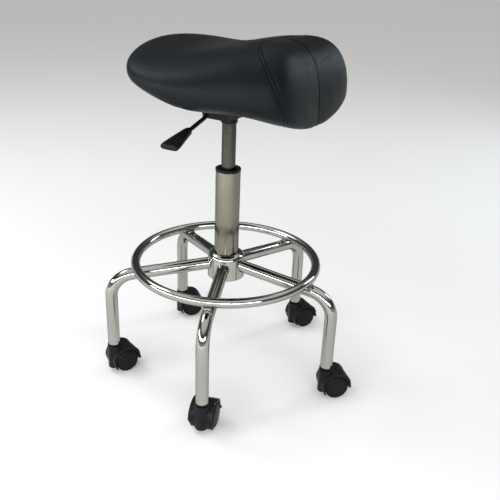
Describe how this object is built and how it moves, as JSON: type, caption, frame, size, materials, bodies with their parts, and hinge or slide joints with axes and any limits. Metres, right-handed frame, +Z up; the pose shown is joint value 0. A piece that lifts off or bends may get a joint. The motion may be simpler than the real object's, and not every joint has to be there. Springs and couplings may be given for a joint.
{
  "type": "dentist stool",
  "caption": "Saddle stool with an upholstered seat on a gas lift, a foot ring, and a bent-tube chrome base on swivelling twin-wheel casters.",
  "frame": {"origin": "on the floor under the middle of the stool's bounding box; the column's axis stands at x = -27.5 mm, y = 28.4 mm, because the casters trail to one side", "axes": "+Z up from the floor; -Y is the front of the saddle, the way the user faces; -X is the user's right, where the lever is"},
  "size_m": [0.527, 0.5246, 0.7178],
  "materials": {
    "chrome": "polished",
    "steel": "satin",
    "black_steel": "satin",
    "black_plastic": "satin",
    "caster_plastic": "satin",
    "socket_plastic": "matte",
    "rubber": "matte",
    "vinyl": "satin",
    "plywood": "matte"
  },
  "bodies": {
    "base": {"hub_receiver": "steel", "hub_cover": "chrome", "foot_ring": "chrome", "leg_1": "chrome", "leg_2": "chrome", "leg_3": "chrome", "leg_4": "chrome", "leg_5": "chrome", "leg_socket_1": "socket_plastic", "leg_socket_2": "socket_plastic", "leg_socket_3": "socket_plastic", "leg_socket_4": "socket_plastic", "leg_socket_5": "socket_plastic", "outer_tube": "chrome", "guide_bushing": "black_plastic"},
    "lift_rod": {"piston_rod": "steel", "thrust_bearing": "steel", "rubber_bumper": "rubber", "retaining_clip": "steel"},
    "seat": {"pressure_tube": "chrome", "rod_guide": "black_plastic", "valve_body": "steel", "taper_socket": "black_steel", "seat_plate": "black_steel", "seat_board": "plywood", "seat_cushion": "vinyl", "seat_bolt_1": "steel", "seat_bolt_2": "steel", "seat_bolt_3": "steel", "seat_bolt_4": "steel", "lever_bracket": "black_steel", "lever_pivot_pin": "steel"},
    "lever": {"lever_rod": "black_steel", "lever_paddle": "black_plastic"},
    "release_pin": {"release_pin": "steel"},
    "caster_1": {"caster_1_hood": "caster_plastic", "caster_1_stem": "steel", "caster_1_axle": "steel"},
    "caster_1_left": {"caster_1_wheel_left": "caster_plastic"},
    "caster_1_right": {"caster_1_wheel_right": "caster_plastic"},
    "caster_2": {"caster_2_hood": "caster_plastic", "caster_2_stem": "steel", "caster_2_axle": "steel"},
    "caster_2_left": {"caster_2_wheel_left": "caster_plastic"},
    "caster_2_right": {"caster_2_wheel_right": "caster_plastic"},
    "caster_3": {"caster_3_hood": "caster_plastic", "caster_3_stem": "steel", "caster_3_axle": "steel"},
    "caster_3_left": {"caster_3_wheel_left": "caster_plastic"},
    "caster_3_right": {"caster_3_wheel_right": "caster_plastic"},
    "caster_4": {"caster_4_hood": "caster_plastic", "caster_4_stem": "steel", "caster_4_axle": "steel"},
    "caster_4_left": {"caster_4_wheel_left": "caster_plastic"},
    "caster_4_right": {"caster_4_wheel_right": "caster_plastic"},
    "caster_5": {"caster_5_hood": "caster_plastic", "caster_5_stem": "steel", "caster_5_axle": "steel"},
    "caster_5_left": {"caster_5_wheel_left": "caster_plastic"},
    "caster_5_right": {"caster_5_wheel_right": "caster_plastic"}
  },
  "joints": [
    {"name": "seat_swivel", "type": "hinge", "parent": "base", "child": "lift_rod", "pos_m": [-0.0275, 0.0284, 0.228], "axis": [0, 0, 1], "continuous": true},
    {"name": "height_slide", "type": "slide", "parent": "lift_rod", "child": "seat", "axis": [0, 0, 1], "range_m": [-0.085, 0.055]},
    {"name": "lever_lift", "type": "hinge", "parent": "seat", "child": "lever", "pos_m": [-0.06241, 0.02596, 0.5893], "axis": [-0.0698, 0.9976, 0], "range_deg": [0, 4], "stiffness_Nm_per_rad": 4, "springref_deg": -1.72},
    {"name": "release_press", "type": "slide", "parent": "seat", "child": "release_pin", "axis": [0, 0, -1], "range_m": [0, 0.0025]},
    {"name": "caster_1_swivel", "type": "hinge", "parent": "base", "child": "caster_1", "pos_m": [-0.0003, -0.21035, 0.06], "axis": [0, 0, 1], "continuous": true},
    {"name": "caster_1_roll_left", "type": "hinge", "parent": "caster_1", "child": "caster_1_left", "pos_m": [0.02519, -0.21287, 0.025], "axis": [0.6984, 0.7157, 0], "continuous": true},
    {"name": "caster_1_roll_right", "type": "hinge", "parent": "caster_1", "child": "caster_1_right", "pos_m": [0.00284, -0.23578, 0.025], "axis": [0.6984, 0.7157, 0], "continuous": true},
    {"name": "caster_2_swivel", "type": "hinge", "parent": "base", "child": "caster_2", "pos_m": [0.20798, -0.01951, 0.06], "axis": [0, 0, 1], "continuous": true},
    {"name": "caster_2_roll_left", "type": "hinge", "parent": "caster_2", "child": "caster_2_left", "pos_m": [0.23331, -0.01574, 0.025], "axis": [0.503, 0.8643, 0], "continuous": true},
    {"name": "caster_2_roll_right", "type": "hinge", "parent": "caster_2", "child": "caster_2_right", "pos_m": [0.21721, -0.0434, 0.025], "axis": [0.503, 0.8643, 0], "continuous": true},
    {"name": "caster_3_swivel", "type": "hinge", "parent": "base", "child": "caster_3", "pos_m": [0.09083, 0.23755, 0.06], "axis": [0, 0, 1], "continuous": true},
    {"name": "caster_3_roll_left", "type": "hinge", "parent": "caster_3", "child": "caster_3_left", "pos_m": [0.11644, 0.23789, 0.025], "axis": [0.6143, 0.7891, 0], "continuous": true},
    {"name": "caster_3_roll_right", "type": "hinge", "parent": "caster_3", "child": "caster_3_right", "pos_m": [0.09678, 0.21263, 0.025], "axis": [0.6143, 0.7891, 0], "continuous": true},
    {"name": "caster_4_swivel", "type": "hinge", "parent": "base", "child": "caster_4", "pos_m": [-0.18984, 0.20557, 0.06], "axis": [0, 0, 1], "continuous": true},
    {"name": "caster_4_roll_left", "type": "hinge", "parent": "caster_4", "child": "caster_4_left", "pos_m": [-0.16544, 0.21334, 0.025], "axis": [0.3584, 0.9336, 0], "continuous": true},
    {"name": "caster_4_roll_right", "type": "hinge", "parent": "caster_4", "child": "caster_4_right", "pos_m": [-0.17691, 0.18346, 0.025], "axis": [0.3584, 0.9336, 0], "continuous": true},
    {"name": "caster_5_swivel", "type": "hinge", "parent": "base", "child": "caster_5", "pos_m": [-0.24616, -0.07125, 0.06], "axis": [0, 0, 1], "continuous": true},
    {"name": "caster_5_roll_left", "type": "hinge", "parent": "caster_5", "child": "caster_5_left", "pos_m": [-0.2319, -0.04998, 0.025], "axis": [-0.3007, 0.9537, 0], "continuous": true},
    {"name": "caster_5_roll_right", "type": "hinge", "parent": "caster_5", "child": "caster_5_right", "pos_m": [-0.22228, -0.0805, 0.025], "axis": [-0.3007, 0.9537, 0], "continuous": true}
  ],
  "couplings": [
    {"joint": "release_press", "follows": "lever_lift", "m_per_rad": 0.035}
  ]
}
